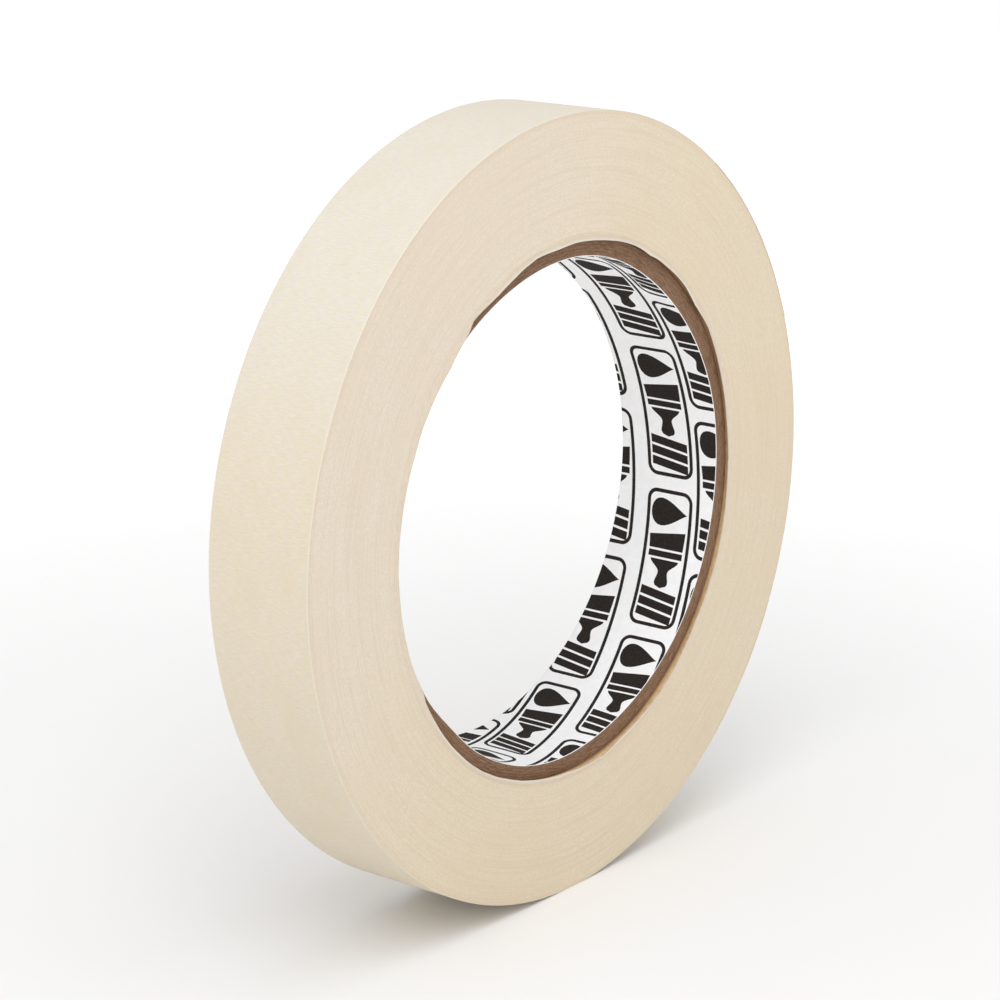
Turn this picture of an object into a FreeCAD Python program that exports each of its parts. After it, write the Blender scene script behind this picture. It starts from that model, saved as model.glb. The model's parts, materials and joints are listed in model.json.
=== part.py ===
"""A roll of masking tape, standing on its rim, in millimetres.

The roll's axis is +Y, +Z is up, and the origin is on the axis at the middle of the tape's width.
A wound paper core carries one long strip of tape.  The core is six strips of paper, each wound in
a helix with its edges butted in an oblique seam: a printed liner inside and five kraft plies over
it.  The tape is cut into the stretches that behave differently: the first laps, the wound body,
the last lap, and the free end, which peels off the roll and is a chain of short links.
"""

import FreeCAD, Part
import math
import os

# Core
BORE_DIAMETER = 76.2
CORE_LENGTH = 18.3
CORE_SHIFT = 1.41  # how far the core is pushed towards +Y, out of the middle of the tape
CORE_LEAN = 0.69  # degrees by which its ends lean: it stands deeper in the front face at -X
LINER_THICKNESS = 0.1
PLY_THICKNESS = 0.48
PLY_COUNT = 5
STRIP_WIDTH = 120.0  # width of the paper strips that the core is wound from
SEAM_GAP = 0.2
LINER_SEAM_ANGLE = 150.0
PLY_SEAM_STEP = 72.0  # each ply's seam is this much further round than the one inside it

# Tape
OUTER_DIAMETER = 118.2
TAPE_WIDTH = 18.0
TAPE_THICKNESS = 0.12
FIRST_LAP_COUNT = 6

# Free end of the tape: links along the last lap, counted from the root to the tip
END_TIP_ANGLE = 20.0
END_LINK_COUNT = 6
END_LINK_ANGLE = 5.6
END_CLEARANCE = 0.05  # between the free end and the lap that it lies on
LINK_GAP = 0.03  # between one link and the next

# Worked out from the above
BORE_RADIUS = BORE_DIAMETER / 2
LINER_RADIUS = BORE_RADIUS + LINER_THICKNESS
CORE_RADIUS = LINER_RADIUS + PLY_COUNT * PLY_THICKNESS
FIRST_LAPS_RADIUS = CORE_RADIUS + FIRST_LAP_COUNT * TAPE_THICKNESS
OUTER_RADIUS = OUTER_DIAMETER / 2
END_ROOT_ANGLE = END_TIP_ANGLE + END_LINK_COUNT * END_LINK_ANGLE
LINK_GAP_ANGLE = math.degrees(LINK_GAP / OUTER_RADIUS)

# A lap is two half circles.  The half from the tip's angle round to half a turn further is about
# the origin.  The other half is about a centre moved half a thickness, so that the lap gains one
# thickness in a turn.
AXIS = FreeCAD.Vector(0, 0, 0)
AXIAL = FreeCAD.Vector(0, 1, 0)
HALF_TURN_ANGLE = END_TIP_ANGLE + 180
FULL_TURN_ANGLE = END_TIP_ANGLE + 360


def polar(radius, angle, centre=AXIS):
    """The point at this radius from a centre, angle in degrees from +X towards +Z."""
    turn = math.radians(angle)
    return centre + FreeCAD.Vector(radius * math.cos(turn), 0, radius * math.sin(turn))


SECOND_CENTRE = polar(-TAPE_THICKNESS / 2, END_TIP_ANGLE)


def arc(radius, start, end, centre=AXIS):
    middle = polar(radius, (start + end) / 2, centre)
    return Part.Arc(polar(radius, start, centre), middle, polar(radius, end, centre)).toShape()


def across_tape(edges):
    """The solid with this outline and the tape's width, centred on the origin."""
    outline = Part.Wire(Part.sortEdges(edges)[0])
    face = Part.Face(outline)
    face.translate(AXIAL * (-TAPE_WIDTH / 2))
    return face.extrude(AXIAL * TAPE_WIDTH)


def ring(inner_radius, outer_radius, length, front):
    base = AXIAL * front
    outer = Part.makeCylinder(outer_radius, length, base, AXIAL)
    inner = Part.makeCylinder(inner_radius, length, base, AXIAL)
    return outer.cut(inner)


def lap_curve(radius, start, clearance):
    """One turn of the spiral from the start angle, outwards in, as edges.

    The last stretch lies under the free end, and is lowered there by the clearance.
    """
    under_end = radius - TAPE_THICKNESS - clearance
    half_radius = radius - TAPE_THICKNESS / 2
    crossing = polar(radius - TAPE_THICKNESS, FULL_TURN_ANGLE)
    return [
        arc(radius, start, HALF_TURN_ANGLE),
        arc(half_radius, HALF_TURN_ANGLE, FULL_TURN_ANGLE, SECOND_CENTRE),
        Part.LineSegment(crossing, polar(under_end, END_TIP_ANGLE)).toShape(),
        arc(under_end, END_TIP_ANGLE, END_ROOT_ANGLE),
    ]


def core_span():
    """The space between the core's two leaning ends, as a box wider than the core."""
    half = FreeCAD.Vector(OUTER_RADIUS, CORE_LENGTH / 2, OUTER_RADIUS)
    box = Part.makeBox(2 * half.x, 2 * half.y, 2 * half.z, -half)
    box.rotate(AXIS, FreeCAD.Vector(0, 0, 1), -CORE_LEAN)
    box.translate(AXIAL * CORE_SHIFT)
    return box


def core_strip(inner_radius, thickness, seam_angle):
    """A paper strip wound into a tube: a ring with an oblique slit where its edges butt."""
    uncut_length = 2 * CORE_LENGTH
    uncut = ring(inner_radius, inner_radius + thickness, uncut_length, -uncut_length / 2)
    tube = uncut.common(core_span())
    helix_angle = math.degrees(math.asin(STRIP_WIDTH / (2 * math.pi * CORE_RADIUS)))
    slit_depth = inner_radius / 3
    slit_length = 3 * CORE_LENGTH
    corner = FreeCAD.Vector(-slit_depth / 2, -SEAM_GAP / 2, -slit_length / 2)
    slit = Part.makeBox(slit_depth, SEAM_GAP, slit_length, corner)
    slit.rotate(AXIS, FreeCAD.Vector(1, 0, 0), -helix_angle)
    slit.translate(FreeCAD.Vector(inner_radius, CORE_SHIFT, 0))
    slit.rotate(AXIS, AXIAL, -seam_angle)
    return tube.cut(slit)


def core_liner():
    return core_strip(BORE_RADIUS, LINER_THICKNESS, LINER_SEAM_ANGLE)


def core_ply(number):
    inner_radius = LINER_RADIUS + (number - 1) * PLY_THICKNESS
    return core_strip(inner_radius, PLY_THICKNESS, LINER_SEAM_ANGLE + number * PLY_SEAM_STEP)


def tape_first_laps():
    return ring(CORE_RADIUS, FIRST_LAPS_RADIUS, TAPE_WIDTH, -TAPE_WIDTH / 2)


def tape_winding():
    """All laps between the first ones and the last, with the step where the last one starts."""
    radius = OUTER_RADIUS - TAPE_THICKNESS
    edges = lap_curve(radius, END_ROOT_ANGLE, END_CLEARANCE)
    step_foot = polar(radius - TAPE_THICKNESS - END_CLEARANCE, END_ROOT_ANGLE)
    edges.append(Part.LineSegment(step_foot, polar(radius, END_ROOT_ANGLE)).toShape())
    bore = Part.makeCylinder(FIRST_LAPS_RADIUS, TAPE_WIDTH, AXIAL * (-TAPE_WIDTH / 2), AXIAL)
    return across_tape(edges).cut(bore)


def tape_last_lap():
    """The outermost full turn, from the winding's step round to the root of the free end."""
    root_angle = END_ROOT_ANGLE + LINK_GAP_ANGLE
    inner_radius = OUTER_RADIUS - TAPE_THICKNESS
    outer_edges = lap_curve(OUTER_RADIUS, root_angle, END_CLEARANCE)
    inner_edges = lap_curve(inner_radius, root_angle, END_CLEARANCE)
    root_face = Part.LineSegment(polar(OUTER_RADIUS, root_angle), polar(inner_radius, root_angle))
    start_outer = inner_radius - END_CLEARANCE
    start_inner = start_outer - TAPE_THICKNESS
    start_face = Part.LineSegment(
        polar(start_outer, END_ROOT_ANGLE), polar(start_inner, END_ROOT_ANGLE)
    )
    return across_tape(outer_edges + inner_edges + [root_face.toShape(), start_face.toShape()])


def tape_end(number):
    """One link of the free end.  Link 1 is at the root, and the last link holds the tip."""
    inner_radius = OUTER_RADIUS - TAPE_THICKNESS
    root = END_ROOT_ANGLE - (number - 1) * END_LINK_ANGLE
    tip = root - END_LINK_ANGLE + LINK_GAP_ANGLE
    return across_tape([
        arc(OUTER_RADIUS, tip, root),
        arc(inner_radius, tip, root),
        Part.LineSegment(polar(inner_radius, root), polar(OUTER_RADIUS, root)).toShape(),
        Part.LineSegment(polar(inner_radius, tip), polar(OUTER_RADIUS, tip)).toShape(),
    ])


def all_nodes():
    nodes = {"core_liner": core_liner()}
    for number in range(1, PLY_COUNT + 1):
        nodes[f"core_ply_{number}"] = core_ply(number)
    nodes["tape_first_laps"] = tape_first_laps()
    nodes["tape_winding"] = tape_winding()
    nodes["tape_last_lap"] = tape_last_lap()
    for number in range(1, END_LINK_COUNT + 1):
        nodes[f"tape_end_{number}"] = tape_end(number)
    return nodes


os.makedirs("parts", exist_ok=True)
for name, shape in all_nodes().items():
    shape.exportStep(f"parts/{name}.step")
    print(name, "valid", shape.isValid(), "solids", len(shape.Solids), "mm3", round(shape.Volume, 3))
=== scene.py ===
"""The looks of a roll of masking tape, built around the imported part.

Lengths are metres, in the part's own frame: the roll's axis is +Y, with its front at -Y, and +Z
is up.  Angles are degrees about that axis, from +X towards +Z.  Materials work in millimetres.
"""

import json
import math

import bmesh
import bpy
import numpy as np
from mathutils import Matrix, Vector


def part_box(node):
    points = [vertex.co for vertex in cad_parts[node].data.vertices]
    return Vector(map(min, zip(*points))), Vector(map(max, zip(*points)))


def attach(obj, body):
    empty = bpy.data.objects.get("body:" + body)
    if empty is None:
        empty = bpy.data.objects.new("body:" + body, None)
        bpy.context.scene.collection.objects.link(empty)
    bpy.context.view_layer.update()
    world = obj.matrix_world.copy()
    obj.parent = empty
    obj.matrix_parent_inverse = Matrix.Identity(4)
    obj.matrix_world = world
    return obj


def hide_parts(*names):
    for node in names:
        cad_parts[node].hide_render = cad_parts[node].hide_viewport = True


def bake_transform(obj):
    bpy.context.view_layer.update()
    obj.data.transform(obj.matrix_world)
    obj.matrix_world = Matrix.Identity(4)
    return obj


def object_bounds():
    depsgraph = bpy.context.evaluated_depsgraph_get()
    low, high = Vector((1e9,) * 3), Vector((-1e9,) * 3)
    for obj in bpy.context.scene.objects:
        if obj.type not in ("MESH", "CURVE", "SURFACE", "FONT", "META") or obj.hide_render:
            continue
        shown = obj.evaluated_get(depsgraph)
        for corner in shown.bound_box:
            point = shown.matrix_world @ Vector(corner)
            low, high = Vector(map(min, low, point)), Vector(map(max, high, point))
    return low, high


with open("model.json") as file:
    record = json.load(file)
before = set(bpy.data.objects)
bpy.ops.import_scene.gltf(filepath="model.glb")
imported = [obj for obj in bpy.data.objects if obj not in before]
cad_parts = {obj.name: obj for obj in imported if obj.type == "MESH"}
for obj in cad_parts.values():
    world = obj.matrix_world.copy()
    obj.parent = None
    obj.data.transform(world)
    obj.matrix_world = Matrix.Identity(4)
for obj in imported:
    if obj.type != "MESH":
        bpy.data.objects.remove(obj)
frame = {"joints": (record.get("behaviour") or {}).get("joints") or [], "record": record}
cad_low, cad_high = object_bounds()

MM = 0.001


# ---------------------------------------------------------------- sizes

# The frame doesn't state these, so they repeat the part's own values.
TAPE_THICKNESS = 0.12 * MM
END_CLEARANCE = 0.05 * MM
FIRST_LAP_COUNT = 6
PLY_COUNT = 5
STRIP_WIDTH = 120.0 * MM
SEAM_ANGLE = 150.0
SEAM_STEP = 72.0
SEAM_GAP = 0.2 * MM


def angle_of(point):
    return math.degrees(math.atan2(point.z, point.x))


# The rest of this section is read from the frame, or worked out from it and the values above.
mounts = {mount["name"]: mount for mount in frame["record"]["mounts"]}
hinges = [Vector(joint["pos_m"]) for joint in frame["joints"]]
links = [joint["child"] for joint in frame["joints"]]

OUTER_RADIUS = hinges[0].length
ROOT_ANGLE = angle_of(hinges[0])
LINK_ANGLE = ROOT_ANGLE - angle_of(hinges[1])
TIP_ANGLE = ROOT_ANGLE - len(links) * LINK_ANGLE
HALF_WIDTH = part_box("tape_winding")[1].y

BORE_RADIUS = mounts["core_bore"]["dims"]["r_mm"] * MM
LINER_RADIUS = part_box("core_liner")[1].z
PLY_RADII = [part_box(f"core_ply_{number}")[1].z for number in range(1, PLY_COUNT + 1)]
CORE_RADIUS = PLY_RADII[-1]
WINDING_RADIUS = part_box("tape_first_laps")[1].z

# The core's ends are two parallel planes that lean a little across X.
BACK_POINT = Vector(mounts["back_side"]["pos_m"])
END_NORMAL = Vector(mounts["back_side"]["axis"])
END_SLOPE = END_NORMAL.x / END_NORMAL.y
FRONT_POINT = Vector((CORE_RADIUS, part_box(f"core_ply_{PLY_COUNT}")[0].y, 0))

# Paper strips of the core: their edges butt in a seam that climbs along a helix.
HELIX_RISE = math.tan(math.asin(STRIP_WIDTH / (2 * math.pi * CORE_RADIUS)))


# ---------------------------------------------------------------- mesh code

SHARP_ANGLE = 50


def polar(radius, angle, across):
    """Points at these radii, angles and places along the axis, as one array."""
    turn = np.radians(angle)
    parts = np.broadcast_arrays(radius * np.cos(turn), across, radius * np.sin(turn))
    return np.stack(parts, axis=-1)


def ease(value):
    """0 below 0, 1 above 1, and a smooth step in between."""
    value = np.clip(value, 0, 1)
    return value * value * (3 - 2 * value)


def random_heights(seed, angle, row, cells):
    """Smooth random values from -1 to 1: so many cells round the axis, and one cell for each row."""
    rows = 512
    lattice = np.random.default_rng(seed).uniform(-1, 1, (cells, rows))
    angle, row = np.broadcast_arrays(angle, row)
    along = angle / 360 * cells
    column = np.floor(along).astype(int)
    line = np.floor(row).astype(int)
    along = ease(along - column)
    up = ease(row - line)
    near = lattice[column % cells, line % rows] * (1 - along)
    near = near + lattice[(column + 1) % cells, line % rows] * along
    far = lattice[column % cells, (line + 1) % rows] * (1 - along)
    far = far + lattice[(column + 1) % cells, (line + 1) % rows] * along
    return near * (1 - up) + far * up


def tube_faces(sections, size, first, closed):
    """Faces of a tube whose sections are loops of points, joined end to end or capped."""
    index = first + np.arange(sections * size).reshape(sections, size)
    start = index if closed else index[:-1]
    end = np.roll(index, -1, axis=0)[: len(start)]
    corners = [start, np.roll(start, -1, axis=1), np.roll(end, -1, axis=1), end]
    faces = np.stack(corners, axis=-1).reshape(-1, 4).tolist()
    if not closed:
        faces += [index[0][::-1].tolist(), index[-1].tolist()]
    return faces


def finish_mesh(mesh, material):
    """Turns the faces outwards, shades them smooth except at corners, and gives the material."""
    work = bmesh.new()
    work.from_mesh(mesh)
    bmesh.ops.recalc_face_normals(work, faces=work.faces)
    for face in work.faces:
        face.smooth = True
    work.to_mesh(mesh)
    work.free()
    mesh.set_sharp_from_angle(angle=math.radians(SHARP_ANGLE))
    mesh.materials.append(material)


def tube_piece(name, tubes, material, closed, places=()):
    """One object from tubes, each an array of its points.

    Places are the same points as a strip's material sees them: along the strip, across it and
    through its thickness, in millimetres.
    """
    faces = []
    first = 0
    for points in tubes:
        faces += tube_faces(points.shape[0], points.shape[1], first, closed)
        first += points.shape[0] * points.shape[1]
    points = np.concatenate([points.reshape(-1, 3) for points in tubes])
    mesh = bpy.data.meshes.new(name)
    mesh.from_pydata(points.tolist(), [], faces)
    finish_mesh(mesh, material)
    if places:
        values = np.concatenate([part.reshape(-1, 3) for part in places])
        attribute = mesh.attributes.new("place", "FLOAT_VECTOR", "POINT")
        attribute.data.foreach_set("vector", values.astype(np.float32).ravel())
    piece = bpy.data.objects.new(name, mesh)
    bpy.context.scene.collection.objects.link(piece)
    return piece


def section_loop(outer, inner):
    """Arrays for the outer side from front to back and the inner side, as one closed loop."""
    return np.concatenate([outer, inner[..., ::-1]], axis=-1)


# ---------------------------------------------------------------- shader code

def colour(red, green, blue):
    """Linear colour from red, green and blue as a screen shows them, 0 to 255."""
    parts = []
    for value in (red / 255, green / 255, blue / 255):
        parts.append(value / 12.92 if value <= 0.04045 else ((value + 0.055) / 1.055) ** 2.4)
    return (*parts, 1.0)


class Shader:
    """One material's nodes.  Each call adds a node and gives back its main output socket."""

    def __init__(self, name):
        self.material = bpy.data.materials.new(name)
        self.material.use_nodes = True
        self.tree = self.material.node_tree
        self.surface = self.tree.nodes["Principled BSDF"]

    def node(self, kind, inputs, output=0, **settings):
        made = self.tree.nodes.new("ShaderNode" + kind)
        for name, value in settings.items():
            setattr(made, name, value)
        for name, value in inputs.items():
            self.put(made.inputs[name], value)
        return made.outputs[output]

    def put(self, socket, value):
        if isinstance(value, bpy.types.NodeSocket):
            self.tree.links.new(value, socket)
        else:
            socket.default_value = value

    def place(self):
        """Along the strip, across it and through it, in millimetres."""
        return self.node("Attribute", {}, output="Vector", attribute_name="place")

    def point(self):
        """The point in the part's frame, in millimetres."""
        return self.scaled(self.node("TexCoord", {}, output="Object"), (1000, 1000, 1000))

    def scaled(self, vector, factors):
        return self.node("VectorMath", {0: vector, 1: factors}, operation="MULTIPLY")

    def parts(self, vector):
        split = self.node("SeparateXYZ", {0: vector}).node
        return split.outputs["X"], split.outputs["Y"], split.outputs["Z"]

    def vector(self, x, y, z):
        return self.node("CombineXYZ", {"X": x, "Y": y, "Z": z})

    def math(self, operation, first, second=0.0):
        return self.node("Math", {0: first, 1: second}, operation=operation)

    def step(self, value, low, high):
        """0 up to low, 1 from high on, and a smooth step in between.  High may be below low."""
        inputs = {"Value": value, "From Min": low, "From Max": high}
        return self.node("MapRange", inputs, interpolation_type="SMOOTHSTEP")

    def noise(self, vector, detail=3.0, roughness=0.6):
        inputs = {"Vector": vector, "Scale": 1.0, "Detail": detail, "Roughness": roughness}
        return self.node("TexNoise", inputs)

    def specks(self, vector, size, share):
        """1 on small spots, one at most in each cell, in this share of the cells."""
        cells = self.node("TexVoronoi", {"Vector": vector, "Scale": 1.0}).node
        spot = self.step(cells.outputs["Distance"], size, size / 2)
        red, _, _ = self.parts(cells.outputs["Color"])
        return self.math("MULTIPLY", spot, self.math("LESS_THAN", red, share))

    def mix(self, factor, first, second, blend="MIX"):
        return self.node(
            "Mix", {0: factor, 6: first, 7: second}, output=2, data_type="RGBA", blend_type=blend
        )

    def bump(self, height, distance, normal=None):
        """A bump of this height in metres where the height socket goes from 0 to 1."""
        inputs = {"Height": height, "Distance": distance, "Strength": 1.0}
        if normal is not None:
            inputs["Normal"] = normal
        return self.node("Bump", inputs)

    def towards(self, angle, x, z):
        """How far a place is in this direction from the axis, in millimetres."""
        across = self.math("MULTIPLY", x, math.cos(math.radians(angle)))
        return self.math("ADD", across, self.math("MULTIPLY", z, math.sin(math.radians(angle))))

    def painted_light_tint(self, base, level, pale_level, tint):
        """Painted light: the colour, tinted warmer as painted shade where the level is nought or less,
        and left as it is from a level on, on the lit side.
        """
        amount = self.step(level, pale_level, 0.0)
        return self.mix(amount, base, self.mix(1.0, base, tint, blend="MULTIPLY"))

    def finish(self, base, roughness, normal=None, specular=0.5):
        self.put(self.surface.inputs["Base Color"], base)
        self.put(self.surface.inputs["Roughness"], roughness)
        self.surface.inputs["Specular IOR Level"].default_value = specular
        if normal is not None:
            self.put(self.surface.inputs["Normal"], normal)
        return self.material

    def rings(self, point, across_scale, around_scale):
        """A vector whose noise is drawn out along circles round the axis, without a seam."""
        x, _, z = self.parts(point)
        radius = self.math("SQRT", self.math("ADD", self.math("POWER", x, 2), self.math("POWER", z, 2)))
        turned_x = self.math("MULTIPLY", self.math("DIVIDE", x, radius), around_scale)
        turned_z = self.math("MULTIPLY", self.math("DIVIDE", z, radius), around_scale)
        return self.vector(self.math("MULTIPLY", radius, across_scale), turned_x, turned_z), radius


# ---------------------------------------------------------------- materials

def crepe_tape():
    """The tape's strip: creped paper outside, cut edges with a painted highlight along them, painted
    light and shade round its outer face, and the adhesive on its inner side.
    """
    painted_light_angle = math.radians(115)
    edge_start, edge_full = 8.78, 8.95
    s = Shader("crepe_tape")
    place = s.place()
    along, across, depth = s.parts(place)
    turn = s.math("DIVIDE", along, OUTER_RADIUS / MM)
    creases = s.noise(s.scaled(place, (4.6, 0.7, 0)), detail=4, roughness=0.7)
    grain = s.noise(s.scaled(place, (4.4, 2.6, 0)), detail=4, roughness=0.75)
    mottle = s.noise(s.scaled(place, (1.0, 0.75, 0)), detail=6, roughness=0.75)
    clouds = s.noise(s.scaled(place, (0.1, 0.14, 0)), detail=3)
    base = s.mix(s.step(creases, 0.34, 0.66), colour(214, 208, 194), colour(227, 221, 209))
    base = s.mix(s.math("MULTIPLY", s.step(grain, 0.4, 0.62), 0.4), base, colour(228, 218, 198))
    base = s.mix(s.math("MULTIPLY", s.step(mottle, 0.5, 0.58), 0.55), base, colour(225, 212, 206))
    base = s.mix(s.math("MULTIPLY", s.step(mottle, 0.5, 0.42), 0.55), base, colour(222, 215, 190))
    base = s.mix(s.math("MULTIPLY", s.step(clouds, 0.45, 0.7), 0.35), base, colour(220, 208, 187))
    smudge = s.noise(s.scaled(place, (0.55, 0.4, 0)), detail=5, roughness=0.7)
    base = s.mix(s.math("MULTIPLY", s.step(smudge, 0.66, 0.75), 0.5), base, colour(231, 229, 232))
    fibres = s.specks(s.scaled(place, (0.33, 0.2, 0)), 0.07, 0.12)
    base = s.mix(s.math("MULTIPLY", fibres, 0.25), base, colour(190, 165, 128))
    # Painted light: the outer face stays whitest round this angle, at the upper left where the light
    # falls, and takes a warmer painted shade further round.
    level = s.math("COSINE", s.math("SUBTRACT", turn, painted_light_angle))
    level = s.math("SUBTRACT", level, 0.55)
    base = s.painted_light_tint(base, level, pale_level=0.45, tint=(1.0, 0.96, 0.885, 1.0))
    # Painted highlight: a paler band along both edges of the strip, where light catches them.
    edge = s.step(s.math("ABSOLUTE", across), edge_start, edge_full)
    base = s.mix(s.math("MULTIPLY", edge, 0.55), base, colour(233, 226, 212))
    glue_noise = s.noise(s.scaled(place, (0.8, 0.8, 0)), detail=3)
    glue = s.mix(s.step(glue_noise, 0.3, 0.7), colour(206, 180, 140), colour(220, 197, 160))
    inner_side = s.step(depth, 0.75, 0.97)
    base = s.mix(inner_side, base, glue)
    roughness = s.math("SUBTRACT", 0.6, s.math("MULTIPLY", inner_side, 0.2))
    normal = s.bump(creases, 0.016 * MM)
    normal = s.bump(grain, 0.012 * MM, normal=normal)
    return s.finish(base, roughness, normal, specular=0.45)


def wound_side():
    """The edges of all the laps, which make the roll's flat sides, with painted light that whitens them
    towards the upper left and a painted shade along the outer rim.
    """
    painted_light_angle = 145
    rim_start, rim_full = 57.9, 58.8
    s = Shader("wound_tape_edges")
    point = s.point()
    x, _, z = s.parts(point)
    laps, radius = s.rings(point, 5.0, 9.0)
    lines, _ = s.rings(point, 3.4, 2.4)
    fine = s.noise(laps, detail=3, roughness=0.7)
    bands = s.noise(lines, detail=4, roughness=0.65)
    clouds = s.noise(s.scaled(point, (0.06, 0.06, 0.06)), detail=3)
    grain = s.noise(s.scaled(point, (3.6, 3.6, 3.6)), detail=4, roughness=0.75)
    base = s.mix(s.step(grain, 0.38, 0.62), colour(221, 207, 187), colour(231, 219, 203))
    base = s.mix(s.math("MULTIPLY", s.step(fine, 0.35, 0.7), 0.35), base, colour(229, 217, 201))
    base = s.mix(s.math("MULTIPLY", s.step(bands, 0.48, 0.6), 0.5), base, colour(219, 204, 183))
    base = s.mix(s.math("MULTIPLY", s.step(clouds, 0.4, 0.65), 0.3), base, colour(224, 208, 185))
    # Painted shade: a darker band along the outer rim, where the outer laps round off.
    painted_rim_shade = s.math("MULTIPLY", s.step(radius, rim_start, rim_full), 0.3)
    base = s.mix(painted_rim_shade, base, colour(217, 198, 175))
    specks = s.specks(s.scaled(point, (0.4, 0, 0.4)), 0.045, 0.15)
    base = s.mix(s.math("MULTIPLY", specks, 0.3), base, colour(180, 150, 115))
    # Painted light: the flat side stays whitest towards this angle, at the upper left where the light
    # falls, and takes a warmer painted shade on the far side.
    level = s.towards(painted_light_angle, x, z)
    base = s.painted_light_tint(base, level, pale_level=45.0, tint=(1.0, 0.98, 0.905, 1.0))
    height = s.math("ADD", s.math("MULTIPLY", fine, 0.6), grain)
    normal = s.bump(height, 0.022 * MM)
    return s.finish(base, 0.8, normal, specular=0.3)


def first_lap_tape():
    """The first laps: a pale lip at the front with a painted highlight and a painted shadow line, and
    tan adhesive on the inner side of the innermost, darkened by painted shade in the gap.

    The third part of a place is how far out the lap is, 0 to 1, and -1 on that inner side.
    """
    twice_painted_light_angle = math.radians(156)
    darkest_angle = math.radians(48)
    s = Shader("first_laps_tape")
    place = s.place()
    along, across, share = s.parts(place)
    fine = s.noise(s.scaled(place, (1.2, 2.5, 4.0)), detail=4, roughness=0.7)
    edge_colour = s.mix(s.step(fine, 0.3, 0.7), colour(221, 206, 185), colour(228, 215, 196))
    turn = s.math("DIVIDE", along, CORE_RADIUS / MM)
    twice = s.math("MULTIPLY", turn, 2.0)
    # Painted light: pale is 1 round the angles where the lip's edges catch the light, on two opposite
    # sides of the bore.  It brings a painted highlight on the inner laps and a painted shadow line
    # outside them.
    pale = s.step(s.math("COSINE", s.math("SUBTRACT", twice, twice_painted_light_angle)), -0.1, 0.4)
    painted_lip_highlight = s.math("MULTIPLY", s.step(share, 0.5, 0.3), pale)
    edge_colour = s.mix(s.math("MULTIPLY", painted_lip_highlight, 0.65), edge_colour, colour(236, 232, 224))
    # Painted shadow: a faint darker, golden line on the outer laps, beside the painted highlight.
    painted_shadow_line = s.math("MULTIPLY", s.step(share, 0.5, 0.72), s.step(share, 1.0, 0.78))
    painted_shadow_line = s.math("MULTIPLY", painted_shadow_line, pale)
    edge_colour = s.mix(s.math("MULTIPLY", painted_shadow_line, 0.25), edge_colour, colour(214, 189, 140))
    mottle = s.noise(s.scaled(place, (0.9, 1.4, 0)), detail=4)
    glue = s.mix(s.step(mottle, 0.3, 0.7), colour(212, 180, 136), colour(232, 204, 164))
    # Painted shade: the adhesive is darkened round this angle, where the gap between the lap and the
    # core lies in shade, and further in from the front face, deeper in the gap.
    gap_shade_level = s.math("COSINE", s.math("SUBTRACT", turn, darkest_angle))
    glue = s.mix(s.math("MULTIPLY", s.step(gap_shade_level, 0.74, 0.95), 0.75), glue, colour(138, 104, 72))
    glue = s.mix(s.step(across, -8.7, -7.7), glue, colour(150, 114, 80))
    base = s.mix(s.step(share, -0.75, -0.97), edge_colour, glue)
    normal = s.bump(fine, 0.02 * MM)
    return s.finish(base, 0.75, normal, specular=0.3)


def kraft_board():
    """Cut kraft board: brown, with short fibres along the strip and a few pale or dark ones."""
    s = Shader("kraft_board")
    point = s.point()
    long_fibres, _ = s.rings(point, 5.0, 26.0)
    short_fibres, _ = s.rings(point, 9.0, 150.0)
    coarse = s.noise(long_fibres, detail=4, roughness=0.65)
    fine = s.noise(short_fibres, detail=3, roughness=0.7)
    clouds = s.noise(s.scaled(point, (0.25, 0.25, 0.25)), detail=3)
    base = s.mix(s.step(coarse, 0.32, 0.68), colour(117, 88, 66), colour(154, 123, 99))
    base = s.mix(s.math("MULTIPLY", s.step(clouds, 0.35, 0.7), 0.5), base, colour(145, 113, 88))
    base = s.mix(s.math("MULTIPLY", s.step(fine, 0.57, 0.72), 0.75), base, colour(182, 155, 132))
    base = s.mix(s.math("MULTIPLY", s.step(fine, 0.42, 0.3), 0.75), base, colour(76, 52, 37))
    height = s.math("ADD", coarse, s.math("MULTIPLY", fine, 0.8))
    normal = s.bump(height, 0.07 * MM)
    return s.finish(base, 0.88, normal, specular=0.2)


def liner_paper():
    """Smooth white paper, a little mottled."""
    s = Shader("liner_paper")
    point = s.point()
    mottle = s.noise(s.scaled(point, (0.9, 0.9, 0.9)), detail=4)
    clouds = s.noise(s.scaled(point, (0.08, 0.08, 0.08)), detail=2)
    base = s.mix(s.step(mottle, 0.3, 0.7), colour(247, 246, 247), colour(252, 252, 252))
    base = s.mix(s.math("MULTIPLY", s.step(clouds, 0.4, 0.7), 0.4), base, colour(245, 243, 244))
    grain = s.noise(s.scaled(point, (7, 7, 7)), detail=2)
    normal = s.bump(grain, 0.01 * MM)
    return s.finish(base, 0.5, normal, specular=0.4)


def printing_ink():
    """Near-black ink, thinner here and there so that the paper dulls it."""
    s = Shader("printing_ink")
    point = s.point()
    wear = s.noise(s.scaled(point, (2.5, 2.5, 2.5)), detail=5, roughness=0.7)
    base = s.mix(s.step(wear, 0.35, 0.75), colour(39, 34, 31), colour(51, 46, 43))
    return s.finish(base, 0.75, s.bump(wear, 0.004 * MM), specular=0.1)


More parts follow.
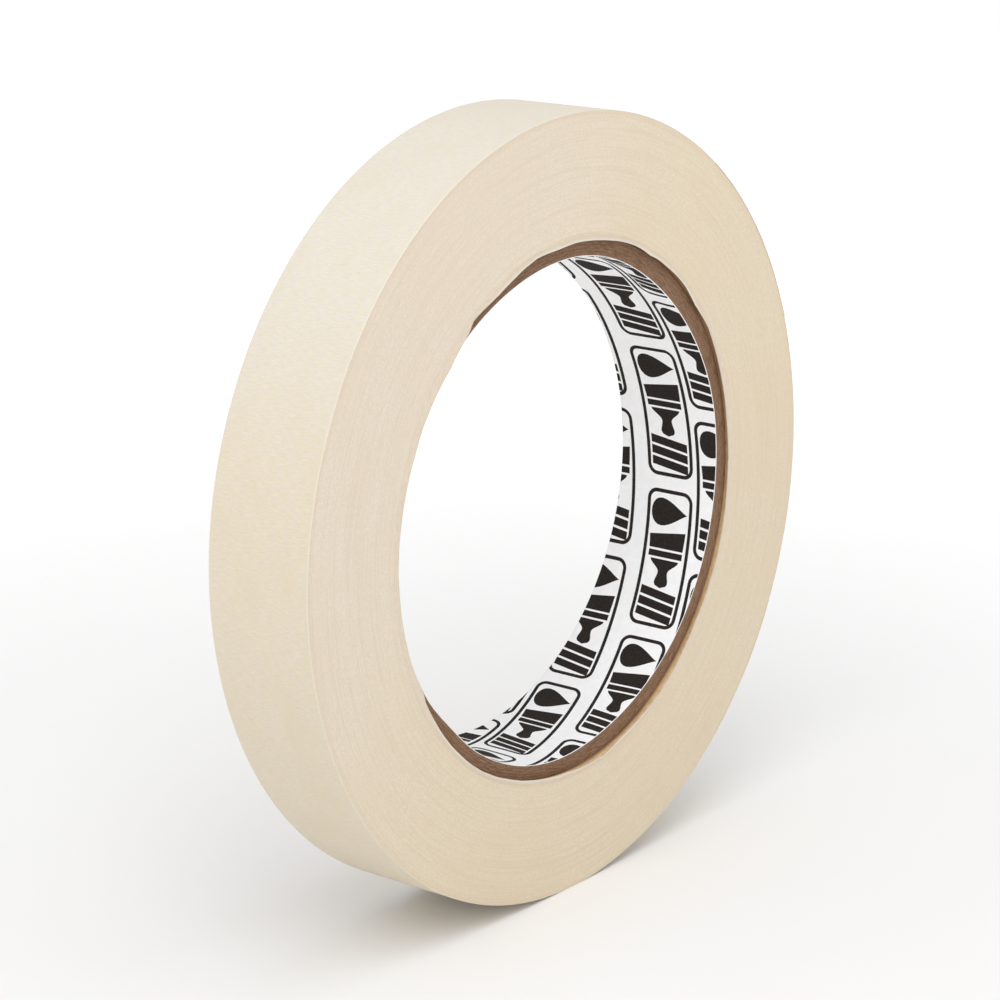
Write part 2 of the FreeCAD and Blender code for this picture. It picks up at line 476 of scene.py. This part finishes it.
def pale_floor():
    """White paper that glows a little away from the roll, so that it stays white far back."""
    glow_start, glow_full, glow_strength = 60.0, 420.0, 0.34
    s = Shader("pale_floor")
    away = s.node("VectorMath", {0: s.point()}, output="Value", operation="LENGTH")
    glow = s.math("MULTIPLY", s.step(away, glow_start, glow_full), glow_strength)
    s.surface.inputs["Emission Color"].default_value = (1.0, 1.0, 1.0, 1.0)
    s.put(s.surface.inputs["Emission Strength"], glow)
    dust = s.noise(s.scaled(s.point(), (0.02, 0.02, 0.02)), detail=2)
    base = s.mix(dust, (0.90, 0.90, 0.90, 1.0), (0.92, 0.92, 0.92, 1.0))
    return s.finish(base, 0.9, specular=0.1)


# ---------------------------------------------------------------- the core

def end_heights(points_x):
    """Where the core's front and back ends are, at these places across the roll."""
    front = FRONT_POINT.y - END_SLOPE * (points_x - FRONT_POINT.x)
    back = BACK_POINT.y - END_SLOPE * (points_x - BACK_POINT.x)
    return front, back


def seam_angle_at(radius, across, seam):
    """The angle of an oblique seam at this place along the axis."""
    middle = (FRONT_POINT.y + BACK_POINT.y) / 2
    return seam + np.degrees((across - middle) / (radius * HELIX_RISE))


# Where the core's cut front end is pushed out of round: the angle, how far to either side, and how
# far outwards in millimetres.
DENTS = [(-170, 40, 0.38), (-136, 12, -0.36), (-103, 22, 0.2), (-68, 26, -0.36), (-10, 30, -0.15),
         (52, 40, -0.78), (106, 36, -0.45)]
DENT_DEPTH = 8 * MM
END_WAVER = 0.04 * MM
END_ROUNDING = 0.04 * MM

# Two sizes of fibre that roughen a cut end: how many there are round it, how wide each is, and how
# much it counts.  On average they stand behind the end's plane by this share of the roughness.
FIBRES = ((900, 0.10 * MM, 1.0), (2200, 0.06 * MM, 0.8))
FIBRE_SINK = 0.4
SETTLING_PASSES = 3


def dented(radius, angle, across):
    """The radius, out of round at the front end.  The core's outer face hardly moves."""
    push = 0
    for centre, reach, outwards in DENTS:
        away = ((angle - centre + 180) % 360 - 180) / reach
        push = push + outwards * MM * np.clip(1 - away ** 2, 0, 1) ** 2
    front, _ = end_heights(radius * np.cos(np.radians(angle)))
    push = push * (1 - ease((across - front) / DENT_DEPTH))
    share = np.clip((CORE_RADIUS - radius) / (CORE_RADIUS - BORE_RADIUS), 0, 1)
    return radius + push * share + np.minimum(0.1 * push, 0) * (1 - share)


def core_strip(name, node, inner_radius, outer_radius, seam, material, cells, rough):
    """A paper strip wound into a tube, with an oblique seam and rough cut ends.

    Cells is how many there are round it, along its wall and across its cut ends.
    """
    sections, wall_cells, end_cells = cells
    corner = min(END_ROUNDING, (outer_radius - inner_radius) / 5)
    end_radii = np.linspace(inner_radius, outer_radius, end_cells + 1)
    end_radii = np.concatenate([end_radii[:1], end_radii[:1] + corner, end_radii[1:-1],
                                end_radii[-1:] - corner, end_radii[-1:]])
    rounding = np.zeros(len(end_radii))
    rounding[[0, -1]] = corner
    share = np.linspace(0, 1, wall_cells + 1)[1:-1]
    wall = np.ones(len(share))
    radii = np.concatenate([end_radii, outer_radius * wall, end_radii[::-1], inner_radius * wall])
    shares = np.concatenate([0 * end_radii, share, 0 * end_radii + 1, share[::-1]])
    trims = np.concatenate([rounding, 0 * wall, -rounding[::-1], 0 * wall])
    turn = np.linspace(0, 1, sections)[:, None]
    open_angle = 360 - math.degrees(SEAM_GAP / inner_radius)
    # The shear follows the height, and the height follows the angle, so they settle together.
    middle = np.array([(FRONT_POINT.y + BACK_POINT.y) / 2])
    across = middle + 0 * radii + 0 * turn
    for _ in range(SETTLING_PASSES):
        angle = seam_angle_at(inner_radius, across, seam) + turn * open_angle
        front, back = end_heights(radii * np.cos(np.radians(angle)))
        across = front + (back - front) * shares + trims
    fibres = 0
    for number, (fibre_count, width, weight) in enumerate(FIBRES):
        seed = number + int(seam)
        heights = random_heights(seed, angle, row=radii / width, cells=fibre_count)
        fibres = fibres + weight * heights
    at_end = np.where(shares == 0, 1, np.where(shares == 1, -1, 0))
    waver = END_WAVER * (random_heights(99, angle, row=0.5, cells=22) + 1)
    across = across + at_end * (rough * (fibres + FIBRE_SINK) + waver)
    points = polar(dented(radii, angle, across), angle, across)
    piece = tube_piece(name, [points], material, closed=False)
    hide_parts(node)
    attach(piece, "roll")
    return piece


def core():
    """The liner and the plies over it, each with its seam further round than the one inside it."""
    board = kraft_board()
    liner = core_strip("liner_tube", "core_liner", BORE_RADIUS, LINER_RADIUS, SEAM_ANGLE,
                       liner_paper(), cells=(720, 48, 1), rough=0.004 * MM)
    inner_radius = LINER_RADIUS
    for number, outer_radius in enumerate(PLY_RADII, start=1):
        seam = SEAM_ANGLE + number * SEAM_STEP
        ply = core_strip(f"board_ply_{number}", f"core_ply_{number}", inner_radius, outer_radius,
                         seam, board, cells=(1000, 16, 4), rough=0.025 * MM)
        inner_radius = outer_radius


# ---------------------------------------------------------------- the liner's print

# Lengths here are in millimetres, but for the ink's height and depth.
FRAME_LENGTH = 22.2
FRAME_HEIGHT = 8.7
FRAME_CORNER = 1.8
FRAME_LINE = 0.6
FRAME_PITCH = 24.3
ROW_PITCH = 10.35
ROW_LIFT = 0.9
ROW_STAGGER = FRAME_PITCH / 2
ROW_RANGE = (-2, 6)
FIRST_FRAME_ANGLE = -6.0
INK_HEIGHT = 0.015 * MM
INK_DEPTH = 0.03 * MM
LONGEST_CELL = 0.9
PRINT_HALF_HEIGHT = 3.4  # of the brush and the stripes, to each side of the frame's middle

# The rows are level where they pass this angle, and fall away from it along a parabola down to
# the second angle.  They run on straight beyond.
ROW_LEVEL_ANGLE = 50.0
ROW_STRAIGHT_ANGLE = -100.0
ROW_BEND = 0.000589
ROW_MIDDLE = 2.25


def rounded_corners(length, height, radius):
    """The centre and the first angle of each corner's arc of a rounded rectangle."""
    return [
        (length - radius, height / 2 - radius, 0),
        (radius, height / 2 - radius, 90),
        (radius, radius - height / 2, 180),
        (length - radius, radius - height / 2, 270),
    ]


def rounded_outline(inset):
    """Points round the frame, this far inside its outer edge, the same count for every inset."""
    points = []
    corners = rounded_corners(FRAME_LENGTH, FRAME_HEIGHT, FRAME_CORNER)
    for centre_x, centre_y, first in corners:
        for turn in np.radians(np.linspace(first, first + 90, 7)):
            reach = FRAME_CORNER - inset
            points.append((centre_x + reach * math.cos(turn), centre_y + reach * math.sin(turn)))
    points.append(points[0])
    return np.array(points)


def split_long_steps(first, second):
    """Adds points to two outlines so that no step along them is longer than a cell."""
    lengths = np.maximum(np.linalg.norm(np.diff(first, axis=0), axis=1),
                         np.linalg.norm(np.diff(second, axis=0), axis=1))
    stops = [0.0]
    for index, length in enumerate(lengths):
        cells = math.ceil(length / LONGEST_CELL)
        stops += [index + (cell + 1) / cells for cell in range(cells)]
    index = np.arange(len(first))
    return [np.stack([np.interp(stops, index, side[:, axis]) for axis in (0, 1)], axis=1)
            for side in (first, second)]


def drop_sides(centre, width, height):
    """A paint drop with its tip up: its left and right sides, from the tip down."""
    turn = np.linspace(0.0, math.pi, 15)
    half = width / 2 * 1.3 * np.sin(turn) * np.sin(turn / 2) ** 1.6
    level = height / 2 * np.cos(turn)
    return np.stack([centre - half, level], axis=1), np.stack([centre + half, level], axis=1)


def brush_shapes(start):
    """A flat paint brush lying along the strip: bristles, ferrule and a waisted handle."""
    bristle_length, ferrule_length, handle_length = 3.0, 1.0, 4.6
    gap = 0.35
    tip_slant = 0.9
    tip_half, ferrule_half = PRINT_HALF_HEIGHT, 3.2
    shoulder_half, waist_loss, end_gain = 2.7, 1.8, 0.4
    end_round = 0.22
    bristle_end = start + bristle_length
    ferrule_start = bristle_end + gap
    ferrule_end = ferrule_start + ferrule_length
    handle_start = ferrule_end + gap
    bristles = (np.array([(start, tip_half), (bristle_end, ferrule_half)]),
                np.array([(start + tip_slant, -tip_half), (bristle_end, -ferrule_half)]))
    ferrule = (np.array([(ferrule_start, ferrule_half), (ferrule_end, ferrule_half)]),
               np.array([(ferrule_start, -ferrule_half), (ferrule_end, -ferrule_half)]))
    turn = np.linspace(0.0, 1.0, 13)
    half = shoulder_half - waist_loss * ease(turn * 2.3) + end_gain * ease((turn - 0.45) * 2.6)
    into_end = np.clip(turn - (1 - end_round), 0, 1) / end_round
    half = half * np.sqrt(np.clip(1 - into_end ** 2, 0, 1))
    along = handle_start + handle_length * turn
    handle = (np.stack([along, half], axis=1), np.stack([along, -half], axis=1))
    return [bristles, ferrule, handle]


def stripe_shapes(start):
    """Three slanted bars."""
    count, pitch, width, slant = 3, 1.75, 1.35, 1.0
    shapes = []
    for number in range(count):
        foot = start + number * pitch
        bar = np.array([(foot, -PRINT_HALF_HEIGHT), (foot + slant, PRINT_HALF_HEIGHT)])
        shapes.append((bar, bar + (width, 0.0)))
    return shapes


def frame_shapes():
    """All the ink of one frame, as pairs of outlines that the ink fills between."""
    shapes = [(rounded_outline(0.0), rounded_outline(FRAME_LINE))]
    shapes.append(drop_sides(centre=3.6, width=4.9, height=6.9))
    shapes += brush_shapes(start=6.4)
    shapes += stripe_shapes(start=15.6)
    return [split_long_steps(first, second) for first, second in shapes]


def row_height(arc):
    """Where the middle row is along the axis, in millimetres, at this arc length."""
    angle = np.degrees(arc / (BORE_RADIUS / MM))
    bent = np.clip(angle, ROW_STRAIGHT_ANGLE, ROW_LEVEL_ANGLE)
    height = ROW_MIDDLE - ROW_BEND * (bent - ROW_LEVEL_ANGLE) ** 2
    slope = 2 * ROW_BEND * (ROW_LEVEL_ANGLE - ROW_STRAIGHT_ANGLE)
    return height + slope * np.minimum(angle - ROW_STRAIGHT_ANGLE, 0)


def add_shape(work, first, second, start, row):
    """Fills between two outlines with ink cells, laid along a row from an arc length on."""
    width = np.linalg.norm(second - first, axis=1).max()
    cells = max(1, math.ceil(width / LONGEST_CELL))
    lines = []
    for share in np.linspace(0, 1, cells + 1):
        flat = first + (second - first) * share
        arc = start - flat[:, 0]
        height = row_height(arc) + row * ROW_PITCH + row % 2 * ROW_LIFT - flat[:, 1]
        lines.append([work.verts.new((a, h, 0)) for a, h in zip(arc, height)])
    for line, following in zip(lines, lines[1:]):
        for index in range(len(line) - 1):
            corners = [line[index], line[index + 1], following[index + 1], following[index]]
            work.faces.new(corners)


def keep_side(work, point, normal):
    """Cuts the ink along a plane and keeps what lies against the normal."""
    everything = work.verts[:] + work.edges[:] + work.faces[:]
    bmesh.ops.bisect_plane(work, geom=everything, dist=1e-7, plane_co=point, plane_no=normal,
                           clear_outer=True)


def lay_frames(work, radius):
    """Lays all frames out flat: x is the arc length round the bore, and y is along the axis.

    They cover more than a turn, because the seam that they are cut along is oblique.
    """
    turns_before_seam, turns_after_seam = 1.4, 0.4
    circumference = 2 * math.pi * radius
    seam_arc = math.radians(SEAM_ANGLE) * radius
    start_arc = seam_arc - turns_before_seam * circumference
    end_arc = seam_arc + turns_after_seam * circumference
    shapes = frame_shapes()
    for row in range(*ROW_RANGE):
        origin = math.radians(FIRST_FRAME_ANGLE) * radius + FRAME_LENGTH
        origin += ROW_STAGGER * (row % 2)
        first = math.floor((start_arc - origin) / FRAME_PITCH)
        last = math.ceil((end_arc - origin) / FRAME_PITCH)
        for number in range(first, last):
            start = origin + number * FRAME_PITCH
            level = row_height(start) + row * ROW_PITCH
            if abs(level) > HALF_WIDTH / MM + FRAME_HEIGHT:
                continue
            for one, other in shapes:
                add_shape(work, one, other, start, row)


def liner_print():
    """Rows of rounded frames with a paint drop, a brush and three stripes, printed on the liner."""
    radius = BORE_RADIUS / MM
    seam_arc = math.radians(SEAM_ANGLE) * radius
    circumference = 2 * math.pi * radius
    middle = (FRONT_POINT.y + BACK_POINT.y) / 2 / MM
    work = bmesh.new()
    lay_frames(work, radius)
    bmesh.ops.remove_doubles(work, verts=work.verts, dist=1e-4)
    across_seam = Vector((HELIX_RISE, -1, 0)).normalized()
    keep_side(work, Vector((seam_arc, middle, 0)), across_seam)
    keep_side(work, Vector((seam_arc - circumference, middle, 0)), -across_seam)
    for vertex in work.verts:
        angle = math.degrees(vertex.co.x / radius)
        across = vertex.co.y * MM
        vertex.co = polar(dented(BORE_RADIUS - INK_HEIGHT, angle, across), angle, across)
    inset = END_NORMAL * 3 * END_WAVER
    keep_side(work, BACK_POINT - inset, END_NORMAL)
    keep_side(work, FRONT_POINT + inset, -END_NORMAL)
    work.normal_update()
    outward = []
    for face in work.faces:
        centre = face.calc_center_median()
        if face.normal.dot(Vector((centre.x, 0, centre.z))) > 0:
            outward.append(face)
    bmesh.ops.reverse_faces(work, faces=outward)
    mesh = bpy.data.meshes.new("liner_print")
    work.to_mesh(mesh)
    work.free()
    mesh.materials.append(printing_ink())
    piece = bpy.data.objects.new("liner_print", mesh)
    bpy.context.scene.collection.objects.link(piece)
    thicken = piece.modifiers.new("ink", "SOLIDIFY")
    thicken.thickness = INK_DEPTH
    thicken.offset = -1.0
    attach(piece, "roll")


# ---------------------------------------------------------------- the tape on the roll

def lap_radius(angle, radius):
    """A lap's distance from the axis, from the root of the free end for a full turn.

    It is round for the first stretch, gains one thickness inwards over half a turn, and lies a
    little lower still where the free end covers it.
    """
    settling_angle = 0.5
    narrowing = TAPE_THICKNESS / 2 * (1 + np.cos(np.radians(angle - TIP_ANGLE)))
    narrowing = np.where(angle < TIP_ANGLE + 180, 0, narrowing)
    covered = angle - TIP_ANGLE - 360
    lowered = TAPE_THICKNESS + END_CLEARANCE * ease(covered / settling_angle)
    narrowing = np.where(covered > 0, lowered, narrowing)
    return radius - narrowing


# The ragged lip of the first laps in the front face: angles, and how far it is from the axis in
# millimetres.  It runs straight from each corner to the next.
LIP_ANGLES = [
    -180, -160, -152, -150, -137, -127, -110, -92, -79, -73, -55, -37, -22, -7, 8, 20, 33, 41, 47,
    58, 63, 69, 82, 90, 96, 103.5, 113, 117, 126, 128.5, 137, 142, 151, 157, 172, 180,
]
LIP_RADII = [
    40.4, 40.1, 39.8, 40.1, 40.4, 40.55, 40.25, 40.2, 40.75, 40.3, 40.55, 40.2, 40.5, 40.15, 40.0,
    40.1, 40.4, 40.05, 40.4, 40.3, 40.1, 40.4, 40.25, 40.3, 40.1, 40.45, 39.95, 39.8, 40.45, 39.85,
    39.45, 39.7, 40.1, 40.05, 40.35, 40.4,
]


def lip_radius(angle):
    return np.interp((angle + 180) % 360 - 180, LIP_ANGLES, LIP_RADII) * MM


def first_laps():
    """Thin laps on the core.  Where they stand out past the core's end, they curl and gape."""
    sections = 720
    lap_gap = 0.012 * MM
    angle = np.arange(sections)[:, None] * 360 / sections
    front_steps = np.array([0, 0.1, 0.3, 0.6, 0.9, 1.3, 1.8]) * MM
    lip = lip_radius(angle)
    lip = lip + 0.04 * MM * random_heights(31, angle, row=0.0, cells=120)
    front_end, _ = end_heights(CORE_RADIUS * np.cos(np.radians(angle)))
    free_depth = front_end + HALF_WIDTH
    tubes = []
    places = []
    for lap in range(FIRST_LAP_COUNT):
        proud = 0.03 + 0.02 * random_heights(40 + lap, angle, row=0.5, cells=40)
        proud = proud + 0.006 * random_heights(50 + lap, angle, row=0.5, cells=240)
        across = -HALF_WIDTH - proud * MM + front_steps
        across = np.concatenate([across, HALF_WIDTH + 0 * angle - 0.01 * MM], axis=1)
        curl = ease(1 - (across + HALF_WIDTH) / free_depth)
        sides = []
        for edge in (lap, lap + 1):
            share = edge / FIRST_LAP_COUNT
            resting = CORE_RADIUS + (WINDING_RADIUS - CORE_RADIUS) * share
            curled = lip + (WINDING_RADIUS - lip) * share ** 1.5
            sides.append(resting + (curled - resting) * curl)
        inner, outer = sides
        outer = outer - lap_gap
        all_across = section_loop(across, across)
        tubes.append(polar(section_loop(outer, inner), angle, all_across))
        along = np.radians(angle) * CORE_RADIUS / MM
        inner_share = lap / FIRST_LAP_COUNT if lap else -1
        share = section_loop(0 * outer + (lap + 1) / FIRST_LAP_COUNT, 0 * inner + inner_share)
        places.append(np.stack(np.broadcast_arrays(along, all_across / MM, share), axis=-1))
    piece = tube_piece("first_laps", tubes, first_lap_tape(), closed=True, places=places)
    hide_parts("tape_first_laps")
    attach(piece, "roll")


def side_relief(angle, radius):
    """How far the laps' edges stand out of the flat side: each lap a little differently."""
    lap = (radius - WINDING_RADIUS) / TAPE_THICKNESS - angle / 360
    relief = 0.008 * random_heights(61, angle, row=lap, cells=24)
    relief = relief + 0.005 * random_heights(62, angle, row=lap / 3, cells=14)
    relief = relief + 0.006 * random_heights(63, angle, row=lap / 12, cells=5)
    return relief * MM


def winding(material):
    """The wound body.  The laps' edges make fine rings on both sides.

    The step where the last lap starts takes up the small angle that the sections leave.
    """
    sections = 240
    laps = 150
    step_angle = 0.1
    angle = np.linspace(ROOT_ANGLE, ROOT_ANGLE + 360 - step_angle, sections)[:, None]
    outer_radius = lap_radius(angle, OUTER_RADIUS - TAPE_THICKNESS)
    share = np.linspace(0, 1, laps + 1)
    radii = WINDING_RADIUS + (outer_radius - WINDING_RADIUS) * share
    front = -HALF_WIDTH - side_relief(angle, radii)
    back = HALF_WIDTH + side_relief(angle + 90, radii)
    points = polar(section_loop(radii, radii), angle, section_loop(front, back))
    piece = tube_piece("wound_body", [points], material, closed=True)
    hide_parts("tape_winding")
    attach(piece, "roll")


def crepe_relief(angle, across):
    """The wrinkles across the tape, which stand up from its outer face."""
    middle_row = 20
    fine = random_heights(71, angle, row=across / (2 * MM) + middle_row, cells=1100)
    broad = random_heights(72, angle, row=across / (4 * MM) + middle_row, cells=350)
    return (0.004 * fine + 0.003 * broad) * MM


def tape_strip(angle, outer_radius):
    """The points of a stretch of tape, and its points as the material sees them."""
    inset = np.array([0.0, 0.05, 0.2, 1.0]) * MM
    middle = np.linspace(-HALF_WIDTH, HALF_WIDTH, 17)[2:-2]
    across = np.concatenate([-HALF_WIDTH + inset, middle, HALF_WIDTH - inset[::-1]])
    rounding = np.zeros(len(across))
    rounding[[0, -1]] = 0.03 * MM
    rounding[[1, -2]] = 0.005 * MM
    outer = outer_radius - rounding + crepe_relief(angle, across)
    inner_across = across[[0, len(across) // 2, -1]]
    inner = outer_radius - TAPE_THICKNESS + 0 * inner_across
    waver = 0.015 * MM * random_heights(73, angle, row=0.5, cells=500)
    waver = waver + 0.03 * MM * random_heights(74, angle, row=0.5, cells=60)
    all_across = section_loop(across, inner_across) + waver
    points = polar(section_loop(outer, inner), angle, all_across)
    along = np.radians(angle) * OUTER_RADIUS / MM
    depth = np.concatenate([0 * across, 1 + 0 * inner_across])
    places = np.stack(np.broadcast_arrays(along, all_across / MM, depth), axis=-1)
    return points, places


def last_lap(material):
    """The outermost full turn of tape, up to the root of the free end."""
    sections = 2400
    angle = np.linspace(ROOT_ANGLE, ROOT_ANGLE + 360, sections)[:, None]
    points, places = tape_strip(angle, lap_radius(angle, OUTER_RADIUS))
    piece = tube_piece("last_lap", [points], material, closed=False, places=[places])
    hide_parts("tape_last_lap")
    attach(piece, "roll")


def free_end(material):
    """The free end as one strip piece for each hinge.

    Each piece runs from the middle of the link before its hinge to the middle of the link after it.
    The first piece starts at its hinge, where the end peels off, and the last one goes on to the tip.
    """
    cell_angle = 0.15
    torn_angle, torn_reach = 0.35, 2
    turn_per_mm = 18
    for number, link in enumerate(links):
        hinge_angle = ROOT_ANGLE - number * LINK_ANGLE
        bend_start = hinge_angle + LINK_ANGLE / 2
        bend_end = hinge_angle - LINK_ANGLE / 2
        root = bend_start if number else hinge_angle
        tip = TIP_ANGLE if link == links[-1] else bend_end
        angle = np.linspace(tip, root, round((root - tip) / cell_angle))[:, None]
        points, places = tape_strip(angle, OUTER_RADIUS + 0 * angle)
        if link == links[-1]:
            torn = random_heights(81, places[..., 1] * turn_per_mm, row=0.5, cells=20)
            torn = torn_angle * torn * ease(1 - (angle - tip) / torn_reach)
            radius = np.linalg.norm(points[..., [0, 2]], axis=-1)
            points = polar(radius, angle + torn, points[..., 1])
        name = f"free_end_{number + 1}"
        piece = tube_piece(name, [points], material, closed=False, places=[places])
        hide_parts(link)
        start = polar(OUTER_RADIUS, bend_start, 0.0)
        end = polar(OUTER_RADIUS, bend_end, 0.0)
        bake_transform(piece)


# ---------------------------------------------------------------- studio

CAMERA_AZIMUTH = -51.79
CAMERA_ELEVATION = 15.27
CAMERA_DISTANCE = 456.3 * MM
CAMERA_LENS = 110.25
CAMERA_RIGHT = -3.991 * MM
CAMERA_UP = 0.413 * MM


def camera():
    """The camera.  Its line of sight passes a little beside the roll's middle."""
    azimuth, elevation = math.radians(CAMERA_AZIMUTH), math.radians(CAMERA_ELEVATION)
    level = math.cos(elevation)
    back = Vector((math.sin(azimuth) * level, -math.cos(azimuth) * level, math.sin(elevation)))
    right = (-back).cross(Vector((0, 0, 1))).normalized()
    up = right.cross(-back)
    data = bpy.data.cameras.new("camera")
    data.lens = CAMERA_LENS
    data.clip_start = 0.01
    seat = bpy.data.objects.new("camera", data)
    seat.location = back * CAMERA_DISTANCE + right * CAMERA_RIGHT + up * CAMERA_UP
    seat.rotation_mode = "QUATERNION"
    seat.rotation_quaternion = (-back).to_track_quat("-Z", "Y")
    bpy.context.scene.collection.objects.link(seat)
    bpy.context.scene.camera = seat


def area_light(name, direction, distance, size, watts):
    data = bpy.data.lights.new(name, "AREA")
    data.shape = "DISK"
    data.size = size
    data.energy = watts
    light = bpy.data.objects.new(name, data)
    away = Vector(direction).normalized()
    light.location = away * distance
    light.rotation_mode = "QUATERNION"
    light.rotation_quaternion = (-away).to_track_quat("-Z", "Y")
    bpy.context.scene.collection.objects.link(light)


def soft_surroundings():
    """White light from all round, stronger at the horizon, where it meets the floor."""
    upper_level, horizon_strength, upper_strength = 0.25, 1.0, 0.7
    world = bpy.data.worlds.new("studio")
    world.use_nodes = True
    tree = world.node_tree
    split = tree.nodes.new("ShaderNodeSeparateXYZ")
    tree.links.new(tree.nodes.new("ShaderNodeTexCoord").outputs["Generated"], split.inputs[0])
    level = tree.nodes.new("ShaderNodeMapRange")
    level.interpolation_type = "SMOOTHSTEP"
    level.inputs["From Max"].default_value = upper_level
    level.inputs["To Min"].default_value = horizon_strength
    level.inputs["To Max"].default_value = upper_strength
    tree.links.new(split.outputs["Z"], level.inputs["Value"])
    background = tree.nodes["Background"]
    background.inputs["Color"].default_value = (1.0, 1.0, 1.0, 1.0)
    tree.links.new(level.outputs["Result"], background.inputs["Strength"])
    return world


def studio():
    """Soft light, and a pale floor that the roll stands on."""
    scene = bpy.context.scene
    scene.view_settings.view_transform = "Standard"
    scene.world = soft_surroundings()
    area_light("key", direction=(-0.6, -0.35, 0.9), distance=0.6, size=0.45, watts=1.2)
    area_light("top", direction=(0.1, -0.2, 1.0), distance=1.0, size=0.8, watts=1.6)

    mesh = bpy.data.meshes.new("floor")
    reach = 40.0
    floor_z = cad_low.z
    corners = [(-reach, -reach, floor_z), (reach, -reach, floor_z),
               (reach, reach, floor_z), (-reach, reach, floor_z)]
    mesh.from_pydata(corners, [], [(0, 1, 2, 3)])
    mesh.materials.append(pale_floor())
    floor = bpy.data.objects.new("floor", mesh)
    scene.collection.objects.link(floor)


# ---------------------------------------------------------------- build

core()
liner_print()
first_laps()
winding(wound_side())
crepe = crepe_tape()
last_lap(crepe)
free_end(crepe)
studio()
camera()
